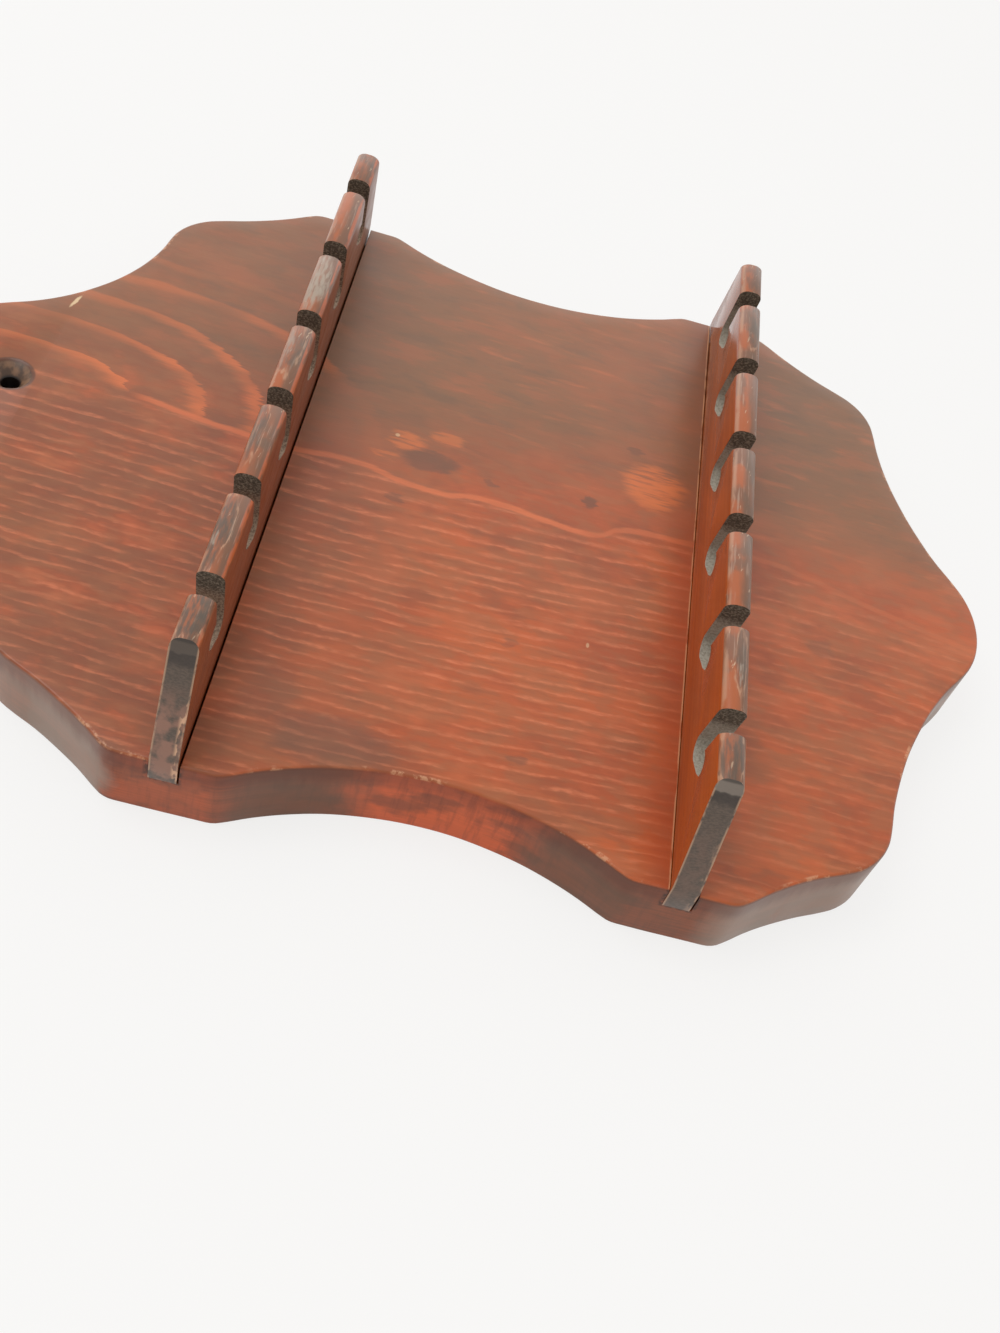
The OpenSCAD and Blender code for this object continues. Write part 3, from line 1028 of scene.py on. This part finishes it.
def subtract(piece, cutters):
    """A bmesh of the piece with the cutters cut out of it; the piece and the cutters are removed."""
    for tool in cutters:
        modifier = piece.modifiers.new("cut", "BOOLEAN")
        modifier.operation = "DIFFERENCE"
        modifier.solver = "EXACT"
        modifier.object = tool
    shape = bmesh.new()
    shape.from_object(piece, bpy.context.evaluated_depsgraph_get())
    for used in (piece, *cutters):
        bpy.data.objects.remove(used)
    return shape


def mark_rim(piece, loop):
    """Stores how close each point of the board lies to its rounded front edge, from 0 to 1."""
    tree = kdtree.KDTree(len(loop))
    for i, point in enumerate(loop):
        tree.insert((point.x, point.y, 0.0), i)
    tree.balance()
    values = []
    for vertex in piece.data.vertices:
        gap = tree.find((vertex.co.x, vertex.co.y, 0.0))[2]
        across = max(0.0, 1 - max(0.0, gap - FRONT_ROUND) / (FACE_BAND - FRONT_ROUND))
        up = min(1.0, max(0.0, (vertex.co.z - RIM_LOW) / RIM_RISE))
        values.append(across * up)
    piece.data.attributes.new("rim", "FLOAT", "POINT").data.foreach_set("value", values)


def make_board(material):
    """The board with its worn edge, grooves and holes."""
    loop = smooth_loop(outline_points())
    blank = new_piece("board_blank", skin(edge_rings(loop)), material, BOARD_SHARP)
    board = new_piece("board", subtract(blank, board_cutters()), material, BOARD_SHARP)
    mark_rim(board, loop)
    return board


def trim_hooks(shape):
    """Trims the tip of every hook a little flat."""
    for i in range(SLOT_COUNT):
        mouth = Vector(((i - (SLOT_COUNT - 1) / 2) * SLOT_PITCH, RAIL_TOP))
        for vertex in shape.verts:
            away = vertex.co.xz - mouth
            excess = away.dot(TIP_WAY) - TIP_REACH
            if excess > 0 and away.length < TIP_LIMIT and vertex.co.z > FACE_Z + TIP_CLEARANCE:
                vertex.co.x -= excess * TIP_WAY.x
                vertex.co.z -= excess * TIP_WAY.y


def round_front(shape, centre_y):
    """Wears the two long front arrises of a rail to a larger round."""
    start = RAIL_HALF - WORN_ROUND
    floor = RAIL_TOP - WORN_ROUND
    planes = (
        ((0, centre_y - start, 0), (0, 1, 0)),
        ((0, centre_y + start, 0), (0, 1, 0)),
        ((0, 0, floor), (0, 0, 1)),
    )
    for place, normal in planes:
        parts = shape.verts[:] + shape.edges[:] + shape.faces[:]
        bmesh.ops.bisect_plane(shape, geom=parts, plane_co=place, plane_no=normal, dist=TOUCH)
    for vertex in shape.verts:
        side = vertex.co.y - centre_y
        away = Vector((abs(side) - start, vertex.co.z - floor))
        if away.x > TOUCH and away.y > TOUCH:
            away *= WORN_ROUND / away.length
            vertex.co.y = centre_y + math.copysign(start + away.x, side)
            vertex.co.z = floor + away.y


def weigh_edges(shape):
    """Marks each sharp edge of a rail with its share of the widest easing."""
    weight = shape.edges.layers.float.new("bevel_weight_edge")
    for edge in shape.edges:
        if not edge.is_manifold or edge.calc_face_angle() < math.radians(ARRIS_DEGREES):
            continue
        start, stop = [vertex.co for vertex in edge.verts]
        middle = (start + stop) / 2
        at_mouth = middle.z > RAIL_TOP - MOUTH_DEPTH and abs(middle.x) < SLOTTED_HALF
        lip = at_mouth and any(face.normal.x > ALONG_AXIS for face in edge.link_faces)
        across = abs((start - stop).normalized().y) > ALONG_AXIS
        inner_corner = across and CORNER_DEPTHS[0] < RAIL_TOP - middle.z < CORNER_DEPTHS[1]
        edge[weight] = 1.0 if lip or inner_corner else ARRIS_EASE / LIP_EASE


def ease_edges(piece):
    """A bmesh of the piece with its marked edges eased; the piece is removed."""
    easing = piece.modifiers.new("easing", "BEVEL")
    easing.limit_method = "WEIGHT"
    easing.width = LIP_EASE
    easing.segments = EASE_SEGMENTS
    shape = bmesh.new()
    shape.from_object(piece, bpy.context.evaluated_depsgraph_get())
    bpy.data.objects.remove(piece)
    return shape


def mark_faces(piece):
    """Stores which faces of a rail are sawn slot walls and which are its two end faces."""
    cut = []
    end = []
    for face in piece.data.polygons:
        middle = face.center
        across = abs(face.normal.y) < SIDE_NORMAL
        steep = abs(face.normal.x) > STEEP_NORMAL
        outer = abs(middle.x) > SLOTTED_HALF
        sawn = (steep or middle.z < RAIL_TOP - SAWN_DEPTH) and middle.z < RAIL_TOP - SKIN_DEPTH
        cut.append(float(across and sawn and not outer))
        end.append(float(across and steep and outer))
    piece.data.attributes.new("cut", "FLOAT", "FACE").data.foreach_set("value", cut)
    piece.data.attributes.new("end", "FLOAT", "FACE").data.foreach_set("value", end)


def make_rail(node, name, material, centre_y):
    """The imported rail, worn round in front, with its hooks trimmed and its sharp edges eased."""
    shape = clean_copy(node)
    trim_hooks(shape)
    round_front(shape, centre_y)
    shape.normal_update()
    weigh_edges(shape)
    blank = new_piece(name + "_blank", shape, material)
    rail = new_piece(name, ease_edges(blank), material)
    mark_faces(rail)
    return rail


def make_camera():
    data = bpy.data.cameras.new("camera")
    data.sensor_width = SENSOR_MM
    data.lens = FOCAL_PIXELS * SENSOR_MM / LONG_SIDE_PIXELS
    camera = new_object("camera", data)
    up = -CAMERA_DOWN
    back = CAMERA_RIGHT.cross(up)
    turn = Matrix((CAMERA_RIGHT, up, back)).transposed().to_4x4()
    camera.matrix_world = Matrix.Translation(CAMERA_PLACE) @ turn
    bpy.context.scene.camera = camera


def make_room():
    """A white room, brighter beyond the far side and dimmer behind the camera."""
    world = bpy.data.worlds.new("studio")
    net = Net(world)
    towards_far = net.split(net.node("TexCoord").outputs["Generated"])[0]
    room = net.ease(towards_far, -0.4, 0.5, ROOM_BEHIND, ROOM_AHEAD)
    window = net.ease(towards_far, 0.68, 0.90, 0, WINDOW)
    light = net.add(room, window)
    seen = net.node("LightPath").outputs["Is Camera Ray"]
    change = net.add(ROOM_SEEN, net.times(light, -1))
    strength = net.add(light, net.times(seen, change))
    background = net.fill(net.node("Background"), Color=ROOM_COLOUR, Strength=strength)
    net.feed(net.node("OutputWorld").inputs["Surface"], background)
    bpy.context.scene.world = world
    bpy.context.scene.view_settings.view_transform = "Standard"


def make_lamp():
    """One soft lamp above the rack."""
    data = bpy.data.lights.new("key", "AREA")
    data.shape = "DISK"
    data.size = KEY_SIZE
    data.energy = KEY_WATTS
    lamp = new_object("key", data)
    lamp.location = KEY_PLACE
    way = Vector(KEY_TARGET) - Vector(KEY_PLACE)
    lamp.rotation_euler = way.to_track_quat("-Z", "Y").to_euler()


def floor_paper():
    """Pale paper that keeps a faint soft shadow and looks nearly white to the camera."""
    net = MaterialNet("floor_paper")
    tooth = net.noise((60, 60, 60), detail=2)
    card = net.fill(net.node("BsdfDiffuse"), Color=net.mix(tooth, *FLOOR_TONES))
    glow = net.fill(net.node("Emission"), Color=FLOOR_WHITE)
    path = net.node("LightPath").outputs
    seen = net.most(path["Is Camera Ray"], path["Is Glossy Ray"], path["Is Transmission Ray"])
    both = net.node("MixShader")
    for socket, part in zip(both.inputs, (net.times(seen, FLOOR_GLOW), card, glow)):
        net.feed(socket, part)
    net.feed(net.node("OutputMaterial").inputs["Surface"], both.outputs[0])
    return net.owner


def make_floor():
    shape = bmesh.new()
    bmesh.ops.create_grid(shape, x_segments=1, y_segments=1, size=FLOOR_SIZE)
    floor = new_piece("floor", shape, floor_paper())
    floor.location.z = -FLOOR_DROP


make_camera()
make_room()
make_lamp()
make_floor()

board = make_board(board_wood())
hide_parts("back_board")
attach(board, "root")

rails = (
    ("upper_rail", "rail_upper", UPPER_LOOK, UPPER_Y),
    ("lower_rail", "rail_lower", LOWER_LOOK, LOWER_Y),
)
for node, name, look, centre_y in rails:
    rail = make_rail(node, name, rail_wood(look, centre_y), centre_y)
    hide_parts(node)
    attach(rail, "root")

steel = brad_steel()
for node, name in (("upper_rail_brads", "brads_upper"), ("lower_rail_brads", "brads_lower")):
    brads = new_piece(name, clean_copy(node), steel)
    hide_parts(node)
    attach(brads, "root")
